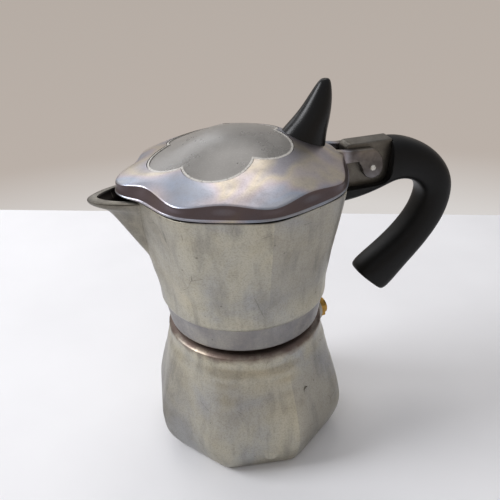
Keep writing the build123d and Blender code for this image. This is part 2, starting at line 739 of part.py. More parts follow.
def along_valve(start, radius, length, bore=0.0):
    """Round piece on the valve's axis, from a distance past its seat face."""
    with BuildPart() as piece:
        with BuildSketch(valve_plane(SEAT + start)):
            Circle(radius)
            if bore > 0:
                Circle(bore, mode=Mode.SUBTRACT)
        extrude(amount=length)
    return piece.part


HEAD_START = VALVE_WASHER_T
HEAD_END = HEAD_START + VALVE_HEAD_T
with BuildPart() as valve_body:
    with BuildSketch(valve_plane(SEAT + HEAD_START)):
        RegularPolygon(radius=VALVE_HEX_ACROSS / 2, side_count=6, major_radius=False)
    extrude(amount=VALVE_HEAD_T * 0.6)
    add(along_valve(HEAD_START, VALVE_HEX_ACROSS / 2 - 0.8, VALVE_HEAD_T))
    add(along_valve(VALVE_INNER, VALVE_BODY_R + PRESS, HEAD_START - VALVE_INNER))
    add(along_valve(VALVE_INNER, VALVE_BORE_R, HEAD_END - 1.0 - VALVE_INNER), mode=Mode.SUBTRACT)
    add(along_valve(VALVE_INNER, VALVE_STEM_R + RUNNING_GAP, 30.0), mode=Mode.SUBTRACT)
valve_body.part.label = "valve_body"
export_step(valve_body.part, "parts/valve_body.step")

with BuildPart() as valve_washer:
    add(along_valve(0.0, VALVE_HEX_ACROSS / 2 + 0.9, VALVE_WASHER_T, VALVE_BODY_R + 0.1))
valve_washer.part.label = "valve_washer"
export_step(valve_washer.part, "parts/valve_washer.step")

with BuildPart() as valve_cap:
    add(along_valve(VALVE_INNER + 0.3, VALVE_BORE_R + PRESS, VALVE_CAP_T, VALVE_STEM_R + 0.2))
valve_cap.part.label = "valve_cap"
export_step(valve_cap.part, "parts/valve_cap.step")

DISC_START = VALVE_INNER + 0.3 + VALVE_CAP_T
DISC_T = 1.6
with BuildPart() as valve_plunger:
    add(along_valve(DISC_START, VALVE_BORE_R - RUNNING_GAP, DISC_T))
    add(along_valve(DISC_START, VALVE_STEM_R, HEAD_END + 1.2 - DISC_START))
valve_plunger.part.label = "valve_plunger"
export_step(valve_plunger.part, "parts/valve_plunger.step")

SPRING_START = DISC_START + DISC_T
SPRING_LENGTH = HEAD_END - 1.0 - SPRING_START
SPRING_WIRE_R = 0.25
SPRING_TURNS = 5
SPRING_R = 0.5 * (VALVE_STEM_R + VALVE_BORE_R)
COIL_LENGTH = SPRING_LENGTH - 2 * SPRING_WIRE_R - 0.1
with BuildPart() as upright_spring:
    with BuildLine() as coil:
        Helix(pitch=COIL_LENGTH / SPRING_TURNS, height=COIL_LENGTH, radius=SPRING_R)
    with BuildSketch(Plane(origin=coil.line @ 0, z_dir=coil.line % 0)):
        Circle(SPRING_WIRE_R)
    sweep()
with BuildPart() as valve_spring:
    spring_foot = valve_plane(SEAT + SPRING_START + SPRING_WIRE_R + 0.05)
    add(upright_spring.part.moved(spring_foot.location))
valve_spring.part.label = "valve_spring"
export_step(valve_spring.part, "parts/valve_spring.step")

# ---------------------------------------------------------------- handle screw
with BuildPart() as handle_screw:
    add(pan_screw(HANDLE_SCREW_FOOT_Z - HEAD_H, HANDLE_SCREW_X, 9.0, HEAD_H))
handle_screw.part.label = "handle_screw"
export_step(handle_screw.part, "parts/handle_screw.step")
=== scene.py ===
"""Looks of the three-cup moka pot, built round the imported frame.

Sizes in the tables are in millimetres, and MM turns them into Blender's metres.
"""
from functools import partial
from math import atan2, cos, degrees, radians, sin

import bmesh
import bpy
from mathutils import Matrix, Vector


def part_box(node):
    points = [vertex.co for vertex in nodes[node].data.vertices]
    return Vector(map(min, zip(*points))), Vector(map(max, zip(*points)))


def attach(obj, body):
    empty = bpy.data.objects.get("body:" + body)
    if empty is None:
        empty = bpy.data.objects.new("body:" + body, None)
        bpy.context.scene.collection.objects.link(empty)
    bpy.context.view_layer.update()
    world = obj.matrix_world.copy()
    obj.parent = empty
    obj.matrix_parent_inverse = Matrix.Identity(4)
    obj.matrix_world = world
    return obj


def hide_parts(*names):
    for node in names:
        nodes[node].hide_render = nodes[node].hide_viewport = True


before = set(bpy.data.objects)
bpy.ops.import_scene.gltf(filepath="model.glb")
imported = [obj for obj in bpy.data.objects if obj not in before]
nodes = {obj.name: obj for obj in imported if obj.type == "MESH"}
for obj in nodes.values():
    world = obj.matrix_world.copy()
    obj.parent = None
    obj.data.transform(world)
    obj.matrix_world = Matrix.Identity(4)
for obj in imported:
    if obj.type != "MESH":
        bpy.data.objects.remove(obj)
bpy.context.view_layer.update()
MM = 0.001


# ------------------------------------------------------------ small helpers
def linear(code):
    """sRGB hex to linear red, green, blue."""
    values = [int(code[i:i + 2], 16) / 255 for i in (1, 3, 5)]
    return tuple(v / 12.92 if v <= 0.04045 else ((v + 0.055) / 1.055) ** 2.4 for v in values)


def rgba(code):
    return (*linear(code), 1.0)


def per_mm(period):
    """Scale of a pattern whose largest features are about period millimetres across."""
    return 1 / (period * MM)


def add_node(tree, kind, inputs=(), output=0, stops=(), **settings):
    """Add a shader node and give back one of its outputs.

    inputs holds sockets or plain values, by name or number, or in order as a tuple.
    settings are the node's own choices, and stops are the colours of a ramp.
    """
    node = tree.nodes.new("ShaderNode" + kind)
    for name, value in settings.items():
        setattr(node, name, value)
    for name, value in inputs.items() if isinstance(inputs, dict) else enumerate(inputs):
        if isinstance(value, bpy.types.NodeSocket):
            tree.links.new(value, node.inputs[name])
        else:
            node.inputs[name].default_value = value
    if stops:
        band = node.color_ramp.elements
        while len(band) < len(stops):
            band.new(0.5)
        for element, (position, code) in zip(band, stops):
            element.position = position
            element.color = rgba(code)
    return node.outputs[output]


def start_material(name, **values):
    """Material whose shader has these uniform values, a node adder for it, and its coordinates."""
    made = bpy.data.materials.new(name)
    made.use_nodes = True
    for key, value in values.items():
        made.node_tree.nodes["Principled BSDF"].inputs[key.replace("_", " ")].default_value = value
    add = partial(add_node, made.node_tree)
    return made, add, add("TexCoord", output="Object")


def join_up(made, add, colour, tints, rough, bumps):
    """Lay tints over the colour in turn, stack the bumps, and join all to the shader.

    A tint is where it shows and its hex; a bump is its height, depth in millimetres and strength.
    """
    for where, code in tints:
        colour = add("Mix", {0: where, 6: colour, 7: rgba(code)}, 2, data_type="RGBA")
    normal = {}
    for height, depth, strength in bumps:
        raised = add("Bump", {"Height": height, "Distance": depth * MM, "Strength": strength, **normal})
        normal = {"Normal": raised}
    tree = made.node_tree
    shader = tree.nodes["Principled BSDF"]
    for name, socket in (("Base Color", colour), ("Roughness", rough), ("Normal", raised)):
        tree.links.new(socket, shader.inputs[name])
    return made


# ------------------------------------------------------------ materials
def cast_aluminium():
    """Sand-blasted die-cast aluminium, dulled by years of coffee and dish water.

    Satin grey with warm and cool patches, a fine grain, a ragged brown band just under the joint, and painted shade on
    the facets and the collar.
    """
    made, add, place = start_material("cast_aluminium_tarnished", Metallic=1.0)
    along, across, height = (add("SeparateXYZ", (place,), axis) for axis in "XYZ")
    facing = add("SeparateXYZ", (add("NewGeometry", output="Normal"),), "Z")
    cloud = add("TexNoise", {
        "Vector": place, "Scale": per_mm(34), "Detail": 4.0, "Roughness": 0.55, "Distortion": 0.5})
    patch = add("TexNoise", {"Vector": place, "Scale": per_mm(11), "Detail": 5.0, "Roughness": 0.62})
    grain = add("TexNoise", {"Vector": place, "Scale": per_mm(0.7), "Detail": 2.0, "Roughness": 0.6})
    pits = add("TexNoise", {"Vector": place, "Scale": per_mm(2.4), "Detail": 1.0, "Roughness": 0.5})
    drawn_down = add("Mapping", {"Vector": place, "Scale": (1.0, 1.0, 0.14)})
    streak = add("TexNoise", {"Vector": drawn_down, "Scale": per_mm(6), "Detail": 4.0, "Roughness": 0.6})
    body = add("ValToRGB", (cloud,), stops=((0.36, "#a9a9a7"), (0.50, "#b8b4a6"), (0.66, "#bfb8a3")))

    # painted shade: neighbouring facets differ a little in tone, standing in for light falling on each facet
    # differently
    boiler_turn = add("MapRange", (height, 0.0640, 0.0641, -0.246, 0.0))
    bearing = add("Math", (across, along), operation="ARCTAN2")
    turn = add("Math", (bearing, boiler_turn), operation="ADD")
    facet_share = add("Math", (turn, radians(45)), operation="DIVIDE")
    facet = add("Math", (facet_share,), operation="FLOOR")
    facet_step = add("Math", (facet, 2.3), operation="MULTIPLY")
    facet_shade_level = add("MapRange", (add("Math", (facet_step,), operation="SINE"), -1.0, 1.0, 0.0, 0.38))
    boiler_facets = add("MapRange", (height, 0.056, 0.046))
    body_facets = add("MapRange", (height, 0.084, 0.094))
    on_facets = add("Math", (boiler_facets, body_facets), operation="ADD")
    painted_facet_shade = add("Math", (facet_shade_level, on_facets), operation="MULTIPLY")

    # painted shade: the collar, tucked under the body's bulge, is darker and bluer, in patches
    above_foot = add("MapRange", (height, 0.0660, 0.0665))
    below_step = add("MapRange", (height, 0.0792, 0.0786))
    on_collar = add("Math", (above_foot, below_step), operation="MULTIPLY")
    in_patches = add("MapRange", (patch, 0.3, 0.7, 0.45, 0.85))
    painted_collar_shade = add("Math", (on_collar, in_patches), operation="MULTIPLY")

    # a brown band on the boiler's shoulder, just under the collar, with a ragged lower edge
    rag = add("MapRange", (patch, 0.3, 0.7, -0.0016, 0.0016))
    above_rag = add("MapRange", (add("Math", (height, rag), operation="ADD"), 0.0600, 0.0632))
    below_collar = add("MapRange", (height, 0.0662, 0.0650, 0.0, 0.85))
    ring = add("Math", (above_rag, below_collar), operation="MULTIPLY")

    # drips under the spout and grime round the lug dull both ends
    spout_end = add("MapRange", (along, -0.0320, -0.0500, 0.0, 0.78))
    lug_end = add("MapRange", (along, 0.0450, 0.0490, 0.0, 0.9))
    at_ends = add("Math", (spout_end, lug_end), operation="ADD")
    uneven = add("MapRange", (patch, 0.3, 0.6, 0.65, 1.0))
    ends = add("Math", (at_ends, uneven), operation="MULTIPLY")

    # black coffee film down the inside of the spout
    upward = add("MapRange", (facing, 0.02, 0.15, 0.0, 0.92))
    out_front = add("MapRange", (along, -0.0360, -0.0400))
    below_lip = add("MapRange", (height, 0.1337, 0.1330))
    above_keel = add("MapRange", (height, 0.094, 0.098))
    in_height = add("Math", (below_lip, above_keel), operation="MULTIPLY")
    in_spout = add("Math", (out_front, in_height), operation="MULTIPLY")
    film = add("Math", (upward, in_spout), operation="MULTIPLY")

    # a few long scratches, and pits left by trapped gas
    lines = add("TexVoronoi", {"Vector": place, "Scale": per_mm(26)}, "Distance", feature="DISTANCE_TO_EDGE")
    thin = add("MapRange", (lines, 0.006, 0.002))
    here_and_there = add("MapRange", (patch, 0.54, 0.62, 0.0, 0.6))
    scratch = add("Math", (thin, here_and_there), operation="MULTIPLY")

    half_grain = add("Math", (grain, 0.5), operation="MULTIPLY")
    rough = add("MapRange", (add("Math", (patch, half_grain), operation="ADD"), 0.5, 1.0, 0.36, 0.50))
    raised_patch = add("Math", (patch, 1.2), operation="MULTIPLY")
    texture = add("Math", (grain, raised_patch), operation="ADD")
    return join_up(made, add, body, (
        # painted shade, facet by facet
        (painted_facet_shade, "#85858a"),
        (add("MapRange", (patch, 0.50, 0.75, 0.0, 0.28)), "#8f8877"),
        (add("MapRange", (streak, 0.50, 0.70, 0.0, 0.46)), "#7b7a77"),
        (add("MapRange", (grain, 0.45, 0.66, 0.0, 0.32)), "#807d76"),
        # painted shade on the collar
        (painted_collar_shade, "#7c7a80"),
        (ring, "#66534e"),
        (ends, "#5a5651"),
        (film, "#191513"),
        (scratch, "#6a675f"),
        (add("MapRange", (pits, 0.76, 0.80, 0.0, 0.55)), "#5d564b"),
    ), rough, ((cloud, 0.22, 0.4), (texture, 0.05, 0.75)))


def lid_aluminium():
    """Tumbled cast lid: smoother, with straw, violet and blue heat films.

    The walls under the scallops are darker and browner.
    """
    made, add, place = start_material("cast_aluminium_heat_tinted", Metallic=1.0)
    along, height = (add("SeparateXYZ", (place,), axis) for axis in "XZ")
    facing = add("SeparateXYZ", (add("NewGeometry", output="Normal"),), "Z")
    cloud = add("TexNoise", {
        "Vector": place, "Scale": per_mm(38), "Detail": 2.0, "Roughness": 0.4, "Distortion": 0.8})
    patch = add("TexNoise", {"Vector": place, "Scale": per_mm(8), "Detail": 5.0, "Roughness": 0.6})
    grain = add("TexNoise", {"Vector": place, "Scale": per_mm(0.7), "Detail": 2.0, "Roughness": 0.6})
    film = add("ValToRGB", (cloud,), stops=(
        (0.30, "#9b9ba0"), (0.42, "#a29fa5"), (0.48, "#beb5a6"), (0.53, "#b0a8ac"), (0.60, "#9da4b2"),
        (0.72, "#9f9e9e"),
    ))
    above_bead = add("MapRange", (height, 0.1354, 0.1358))
    below_edge = add("MapRange", (height, 0.1425, 0.1405))
    on_wall = add("Math", (above_bead, below_edge), operation="MULTIPLY")
    upright = add("MapRange", (facing, 0.62, 0.40))
    upright_wall = add("Math", (upright, on_wall), operation="MULTIPLY")
    short_of_ears = add("MapRange", (along, 0.0470, 0.0440, 0.0, 0.85))
    walls = add("Math", (upright_wall, short_of_ears), operation="MULTIPLY")
    on_ears = add("MapRange", (along, 0.0465, 0.0500))
    grime = add("MapRange", (patch, 0.3, 0.6, 0.6, 1.0))
    ears = add("Math", (on_ears, grime), operation="MULTIPLY")
    part_grain = add("Math", (grain, 0.4), operation="MULTIPLY")
    rough = add("MapRange", (add("Math", (patch, part_grain), operation="ADD"), 0.5, 1.0, 0.32, 0.46))
    texture = add("Math", (grain, patch), operation="ADD")
    return join_up(made, add, film, (
        (add("MapRange", (patch, 0.46, 0.74, 0.0, 0.40)), "#807b79"),
        (add("MapRange", (grain, 0.45, 0.70, 0.0, 0.22)), "#7d7975"),
        (walls, "#58494a"),
        (ears, "#5c5754"),
    ), rough, ((cloud, 0.12, 0.3), (texture, 0.045, 0.7)))


def pressed_aluminium():
    """Spun and pressed aluminium sheet, matt from washing."""
    made, add, place = start_material("pressed_aluminium_matt", Metallic=1.0)
    cloud = add("TexNoise", {"Vector": place, "Scale": per_mm(12), "Detail": 4.0, "Roughness": 0.6})
    spun = add("Mapping", {"Vector": place, "Scale": (0.4, 0.4, 3.0)})
    rings = add("TexNoise", {"Vector": spun, "Scale": per_mm(1.2), "Detail": 2.0, "Roughness": 0.5})
    colour = add("ValToRGB", (cloud,), stops=((0.3, "#a5a29b"), (0.7, "#c2c0ba")))
    rough = add("MapRange", (cloud, 0.3, 0.7, 0.36, 0.50))
    return join_up(made, add, colour, (), rough, ((rings, 0.03, 0.5),))


def moulded_black():
    """Compression-moulded phenolic handle: satin, faintly orange-peeled."""
    made, add, place = start_material("phenolic_black_satin", IOR=1.5, Specular_IOR_Level=0.2)
    cloud = add("TexNoise", {"Vector": place, "Scale": per_mm(18), "Detail": 4.0, "Roughness": 0.6})
    peel = add("TexNoise", {"Vector": place, "Scale": per_mm(1.4), "Detail": 2.0, "Roughness": 0.5})
    gripped = add("Mapping", {"Vector": place, "Scale": (1.0, 0.25, 1.0)})
    scuff = add("TexNoise", {"Vector": gripped, "Scale": per_mm(2.2), "Detail": 3.0, "Roughness": 0.6})
    colour = add("ValToRGB", (cloud,), stops=((0.3, "#0b0b0c"), (0.7, "#121213")))
    scuffed = add("MapRange", (scuff, 0.62, 0.80, 0.0, 0.15))
    rough = add("MapRange", (cloud, 0.3, 0.7, 0.36, 0.48))
    return join_up(made, add, colour, ((scuffed, "#2c2c2e"),), rough, ((peel, 0.04, 0.4),))


def glossy_black():
    """Moulded phenolic knob, polished, with fine rubbing scratches."""
    made, add, place = start_material("phenolic_black_polished", IOR=1.5, Specular_IOR_Level=0.3)
    cloud = add("TexNoise", {"Vector": place, "Scale": per_mm(9), "Detail": 4.0, "Roughness": 0.6})
    drawn = add("Mapping", {"Vector": place, "Scale": (1.0, 1.0, 0.12)})
    scratch = add("TexNoise", {"Vector": drawn, "Scale": per_mm(0.9), "Detail": 3.0, "Roughness": 0.7})
    marks = add("MapRange", (scratch, 0.60, 0.68))
    faint = add("Math", (marks, 0.25), operation="MULTIPLY")
    colour = add("Mix", {0: faint, 6: rgba("#070708"), 7: rgba("#242427")}, 2, data_type="RGBA")
    half_marks = add("Math", (marks, 0.5), operation="MULTIPLY")
    rough = add("MapRange", (add("Math", (cloud, half_marks), operation="ADD"), 0.3, 1.2, 0.27, 0.42))
    return join_up(made, add, colour, (), rough, ((scratch, 0.01, 0.2),))


def clear_panel():
    """Injection-moulded clear polycarbonate, hazed by steam and wiping.

    The haze scatters light, so the panel shows pale grey over the dark inside.
    """
    made, add, place = start_material("polycarbonate_clear_hazed", IOR=1.585, Transmission_Weight=0.45)
    dust = add("TexNoise", {"Vector": place, "Scale": per_mm(0.8), "Detail": 3.0, "Roughness": 0.7})
    haze = add("TexNoise", {"Vector": place, "Scale": per_mm(14), "Detail": 4.0, "Roughness": 0.6})
    colour = add("ValToRGB", (haze,), stops=((0.3, "#8e8b86"), (0.7, "#a6a39e")))
    dusty = add("MapRange", (dust, 0.52, 0.70, 0.0, 0.35))
    rough = add("MapRange", (haze, 0.3, 0.7, 0.24, 0.36))
    return join_up(made, add, colour, ((dusty, "#c6c4c0"),), rough, ((dust, 0.03, 0.5),))


def rim_painted_highlight():
    """The same polycarbonate at its moulded rim, painted pale: a painted highlight line round the window."""
    made, add, place = start_material("polycarbonate_rim_painted_highlight", IOR=1.585, Transmission_Weight=0.25)
    dust = add("TexNoise", {"Vector": place, "Scale": per_mm(1.5), "Detail": 3.0, "Roughness": 0.6})
    colour = add("ValToRGB", (dust,), stops=((0.35, "#c9c5be"), (0.6, "#dad7d1")))
    rough = add("MapRange", (dust, 0.3, 0.7, 0.22, 0.40))
    return join_up(made, add, colour, (), rough, ((dust, 0.005, 0.2),))


def brass():
    """Turned brass, dulled."""
    made, add, place = start_material("brass_turned_dull", Metallic=1.0)
    cloud = add("TexNoise", {"Vector": place, "Scale": per_mm(3), "Detail": 4.0, "Roughness": 0.6})
    turning = add("TexNoise", {"Vector": place, "Scale": per_mm(0.4), "Detail": 2.0, "Roughness": 0.5})
    colour = add("ValToRGB", (cloud,), stops=((0.3, "#a8803f"), (0.7, "#cda45a")))
    rough = add("MapRange", (cloud, 0.3, 0.7, 0.26, 0.42))
    return join_up(made, add, colour, (), rough, ((turning, 0.02, 0.4),))


def bright_steel(name, light, dark, smoothest):
    """Drawn or plated steel, from its smoothest patches to its dullest."""
    made, add, place = start_material(name, Metallic=1.0)
    cloud = add("TexNoise", {"Vector": place, "Scale": per_mm(2), "Detail": 4.0, "Roughness": 0.6})
    drawn = add("Mapping", {"Vector": place, "Scale": (1.0, 0.2, 1.0)})
    drawing = add("TexNoise", {"Vector": drawn, "Scale": per_mm(0.4), "Detail": 2.0, "Roughness": 0.5})
    colour = add("ValToRGB", (cloud,), stops=((0.3, dark), (0.7, light)))
    rough = add("MapRange", (cloud, 0.3, 0.7, smoothest, smoothest + 0.12))
    return join_up(made, add, colour, (), rough, ((drawing, 0.01, 0.4),))


def seal_rubber():
    """Moulded food-grade rubber, cream, stained brown by coffee."""
    made, add, place = start_material("rubber_cream_stained", IOR=1.5)
    cloud = add("TexNoise", {"Vector": place, "Scale": per_mm(10), "Detail": 4.0, "Roughness": 0.6})
    skin = add("TexNoise", {"Vector": place, "Scale": per_mm(0.8), "Detail": 2.0, "Roughness": 0.5})
    colour = add("ValToRGB", (cloud,), stops=((0.3, "#b7a88e"), (0.55, "#d9d1bf"), (0.8, "#e2dccd")))
    rough = add("MapRange", (cloud, 0.3, 0.7, 0.50, 0.65))
    return join_up(made, add, colour, (), rough, ((skin, 0.03, 0.4),))


def melamine():
    """White melamine table top, satin."""
    made, add, place = start_material("melamine_white", IOR=1.5)
    cloud = add("TexNoise", {"Vector": place, "Scale": per_mm(90), "Detail": 3.0, "Roughness": 0.5})
    orange_peel = add("TexNoise", {"Vector": place, "Scale": per_mm(2), "Detail": 2.0, "Roughness": 0.5})
    colour = add("ValToRGB", (cloud,), stops=((0.3, "#e8e8ea"), (0.7, "#eeeef0")))
    rough = add("MapRange", (cloud, 0.3, 0.7, 0.55, 0.56))
    return join_up(made, add, colour, (), rough, ((orange_peel, 0.001, 0.02),))


CAST = cast_aluminium()
LID = lid_aluminium()
SHEET = pressed_aluminium()
BRASS = brass()
ZINC = bright_steel("steel_screw_zinc", "#c2c2c0", "#8e8e8c", 0.34)
FINISHES = {
    "boiler": CAST, "collector": CAST, "lid": LID,
    "funnel": SHEET, "funnel_sieve": SHEET, "filter_plate": SHEET, "valve_washer": SHEET,
    "gasket": seal_rubber(), "lid_window": clear_panel(),
    "handle": moulded_black(), "knob": glossy_black(),
    "hinge_pin": bright_steel("steel_pin_drawn", "#e2e0da", "#b9b6ae", 0.22),
    "valve_spring": bright_steel("steel_wire_drawn", "#c9c9c9", "#9d9d9d", 0.28),
    "valve_body": BRASS, "valve_plunger": BRASS, "valve_cap": BRASS,
    "knob_screw": ZINC, "knob_washer": ZINC, "handle_screw": ZINC,
}
for name, finish in FINISHES.items():
    shown = nodes[name]
    shown.data.materials.clear()
    shown.data.materials.append(finish)


# ------------------------------------------------------------ modelling helpers
def set_down():
    """Leave edit mode and let go of everything."""
    if bpy.context.object and bpy.context.object.mode != "OBJECT":
        bpy.ops.object.mode_set(mode="OBJECT")
    bpy.ops.object.select_all(action="DESELECT")


def start_ring(name, columns, radius, height, turn=0.0):
    """Flat disc of a few columns, in edit mode, ready to be drawn out into a wall."""
    set_down()
    bpy.ops.mesh.primitive_circle_add(
        vertices=columns, radius=radius * MM, location=(0, 0, height * MM), rotation=(0, 0, radians(turn)),
        fill_type="NGON",
    )
    piece = bpy.context.object
    piece.name = name
    bpy.ops.object.transform_apply(location=True, rotation=True, scale=True)
    bpy.ops.object.mode_set(mode="EDIT")
    bpy.ops.mesh.select_mode(type="VERT")
    bpy.ops.mesh.select_all(action="SELECT")
    bpy.ops.mesh.select_mode(type="EDGE")
    piece["at"] = (radius, height)
    return piece


def draw_out(piece, rings):
    """Extrude the open edge through (radius, height) rings about the pot's axis."""
    for radius, height in rings:
        old_radius, old_height = piece["at"]
        bpy.ops.mesh.extrude_region_move(TRANSFORM_OT_translate={"value": (0, 0, (height - old_height) * MM)})
        grow = radius / old_radius
        bpy.ops.transform.resize(value=(grow, grow, 1), center_override=(0, 0, 0))
        piece["at"] = (radius, height)


def close_end():
    """Cap the last ring and turn all faces outwards."""
    bpy.ops.mesh.edge_face_add()
    bpy.ops.mesh.select_all(action="SELECT")
    bpy.ops.mesh.normals_make_consistent(inside=False)
    bpy.ops.object.mode_set(mode="OBJECT")


def hold_edges(piece, rule):
    """Crease each edge by a rule of its two ends, where 10 is a sharp edge and 0 a free one."""
    held = piece.data.attributes.new("crease_edge", "FLOAT", "EDGE")
    for edge in piece.data.edges:
        one, two = (piece.data.vertices[end].co / MM for end in edge.vertices)
        held.data[edge.index].value = min(1.0, max(0.0, rule(one, two) / 10)) ** 0.5


def finish_with(piece, kind, **settings):
    """Add a modifier with its settings and apply it."""
    set_down()
    bpy.context.view_layer.objects.active = piece
    piece.select_set(True)
    added = piece.modifiers.new("shape", kind)
    for name, value in settings.items():
        setattr(added, name, value)
    bpy.ops.object.modifier_apply(modifier=added.name)


def smooth_over(piece):
    finish_with(piece, "SUBSURF", levels=3, render_levels=3)


def cut_with(piece, tool, operation="DIFFERENCE"):
    """Cut, join or cross a piece with a tool, then throw the tool away."""
    finish_with(piece, "BOOLEAN", object=tool, operation=operation, solver="EXACT")
    bpy.data.objects.remove(tool)


def middle_of(node):
    """Middle of a CAD node's box, in millimetres."""
    low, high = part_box(node)
    return [round(value / MM, 2) for value in (low + high) / 2]


def round_bar(radius, start, end, sides=48):
    """Plain round bar between two points."""
    set_down()
    start, end = Vector(start) * MM, Vector(end) * MM
    run = end - start
    bpy.ops.mesh.primitive_cylinder_add(
        vertices=sides, radius=radius * MM, depth=run.length, location=(start + end) / 2,
        rotation=run.to_track_quat("Z", "Y").to_euler(),
    )
    bar = bpy.context.object
    bpy.ops.object.transform_apply(location=True, rotation=True, scale=True)
    return bar


def prism(corners, half_width, bevel_mm=0.0):
    """Bar along Y with an outline of (x, z) corners, drawn out from its side face."""
    set_down()
    bpy.ops.mesh.primitive_circle_add(vertices=len(corners), radius=MM, fill_type="NGON")
    bar = bpy.context.object
    for point, (x, z) in zip(bar.data.vertices, corners):
        point.co = (x * MM, -half_width * MM, z * MM)
    bpy.ops.object.mode_set(mode="EDIT")
    bpy.ops.mesh.select_all(action="SELECT")
    bpy.ops.mesh.extrude_region_move(TRANSFORM_OT_translate={"value": (0, 2 * half_width * MM, 0)})
    bpy.ops.mesh.select_all(action="SELECT")
    bpy.ops.mesh.normals_make_consistent(inside=False)
    bpy.ops.object.mode_set(mode="OBJECT")
    if bevel_mm:
        finish_with(bar, "BEVEL", width=bevel_mm * MM, segments=3, limit_method="ANGLE")
    return bar


def across(radius, x, z, half_width, sides=48):
    """Round bar along Y."""
    return round_bar(radius, (x, -half_width, z), (x, half_width, z), sides)


def upright_bar(radius, x, low, high):
    """Round bar along Z, in the pot's middle plane."""
    return round_bar(radius, (x, 0, low), (x, 0, high))


def level(one, two):
    return abs(one.z - two.z) < 0.01


def hand_over(piece, body, slot, finish, *stands_for):
    """Shade a finished piece and tie it to its body and CAD node. The slot is not used."""
    set_down()
    bpy.context.view_layer.objects.active = piece
    piece.select_set(True)
    bpy.ops.object.shade_smooth_by_angle(angle=radians(32))
    piece.data.materials.clear()
    piece.data.materials.append(finish)
    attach(piece, body)
    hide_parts(*stands_for)


PIN_X, _, PIN_Z = middle_of("hinge_pin")
KNOB_SCREW_X = middle_of("knob_screw")[0]
HANDLE_SCREW_X = middle_of("handle_screw")[0]
VALVE_Z = middle_of("valve_plunger")[2]

# ------------------------------------------------------------ boiler
SIDES = 8
CORNER = 1 / cos(radians(22.5))     # facet distance to corner distance
ROUND = 1 / 0.902                   # limit of a smoothed ring to its cage
BOILER_TURN = 14.1                  # bearing of a corner, and of the valve
THREAD_ROWS = 3
THREAD_PITCH = 3.0


def held(flat, hold):
    """Cage radius that smooths to a facet distance, for how firmly its corners hold."""
    share = min(hold, 1.0)
    return flat * (share * CORNER + (1 - share) * ROUND)


def draw_round(piece, rings):
    """Draw out through round rings of (radius, height)."""
    draw_out(piece, [(radius * ROUND, height) for radius, height in rings])


def draw_facets(piece, rings):
    """Draw out through faceted rings of (height, centre to facet, corner hold)."""
    draw_out(piece, [(held(flat, hold), height) for height, flat, hold in rings])


# height, centre to facet, corner hold
BOILER_WALL = (
    (0.0, 36.4, 3.2), (0.5, 38.0, 3.2), (2.2, 39.3, 3.2), (5.0, 40.9, 3.1), (9.2, 42.6, 3.0), (14.0, 43.8, 2.9),
    (20.0, 44.4, 2.8), (28.0, 43.3, 2.5), (36.0, 41.3, 2.1), (44.0, 39.3, 1.6), (51.0, 37.7, 1.0), (57.0, 36.9, 0.4),
    (61.4, 36.6, 0.0),
)
SHOULDER = ((36.5, 62.4), (35.9, 63.1), (33.6, 64.1), (31.4, 64.6))
INSIDE_WALL = (
    (27.4, 64.5), (27.6, 63.2), (33.0, 58.8), (34.2, 56.0), (35.2, 47.0), (38.0, 36.0), (40.8, 24.0), (41.0, 17.0),
    (39.5, 9.0), (36.5, 3.6), (33.0, 2.8), (10.0, 2.8),
)
boiler = start_ring("boiler_casting", SIDES, 10.0, 0.6, BOILER_TURN)
draw_facets(boiler, ((0.6, 31.5, 3), (0.0, 32.6, 3)))
draw_facets(boiler, BOILER_WALL)
draw_round(boiler, SHOULDER)
draw_round(boiler, ((31.1, 65.4), (31.1, 67.0)))
for row in range(THREAD_ROWS):
    crest = 67.2 + THREAD_PITCH * row
    draw_round(boiler, ((31.1, crest), (32.0, crest + 0.7), (32.0, crest + 1.1), (31.1, crest + 1.8)))
draw_round(boiler, ((31.1, 75.6), (30.9, 76.3), (30.5, 76.5), (28.0, 76.5), (27.4, 76.1)))
draw_round(boiler, INSIDE_WALL)
close_end()


def boiler_hold(one, two):
    """Facet corners hold below and fade out by the shoulder; the land keeps an edge."""
    outside = min(one.xy.length, two.xy.length) > 34
    if level(one, two):
        on_land = abs(one.z - 62.4) < 0.1 and outside
        return 1.0 if on_land else (1.4 if one.z > 66.5 and one.z < 75.0 else 0.0)
    middle = (one.z + two.z) / 2
    if not outside or middle > 60:
        return 0.0
    nearest = min(BOILER_WALL, key=lambda ring: abs(ring[0] - middle))
    return nearest[2]


hold_edges(boiler, boiler_hold)
smooth_over(boiler)

# flat boss and hole for the safety valve
def on_valve_axis(distance):
    return (distance * cos(radians(BOILER_TURN)), distance * sin(radians(BOILER_TURN)), VALVE_Z)


cut_with(boiler, round_bar(6.6, on_valve_axis(36.2), on_valve_axis(41.8)), "UNION")
cut_with(boiler, round_bar(3.4, on_valve_axis(30.0), on_valve_axis(44.0)))

# round marks of the ejector pins, a hair proud: bearing, distance aside, height, reach, radius
PIN_MARKS = ((-98.4, 4.5, 12.0, 43.42, 3.3), (-53.4, -8.0, 40.0, 40.42, 1.6))
for bearing, aside, height, reach, radius in PIN_MARKS:
    out = Vector((cos(radians(bearing)), sin(radians(bearing)), 0))
    foot = Vector((-out.y, out.x, 0)) * aside + Vector((0, 0, height))
    cut_with(boiler, round_bar(radius, foot + 39 * out, foot + reach * out), "UNION")

# ------------------------------------------------------------ collector
COLLAR = (
    (32.9, 66.6), (33.2, 66.4), (34.8, 66.4), (35.2, 66.8), (35.5, 68.4), (36.2, 72.6), (36.9, 77.0), (37.05, 78.3),
    (37.1, 78.7), (37.75, 78.9), (38.15, 79.5),
)
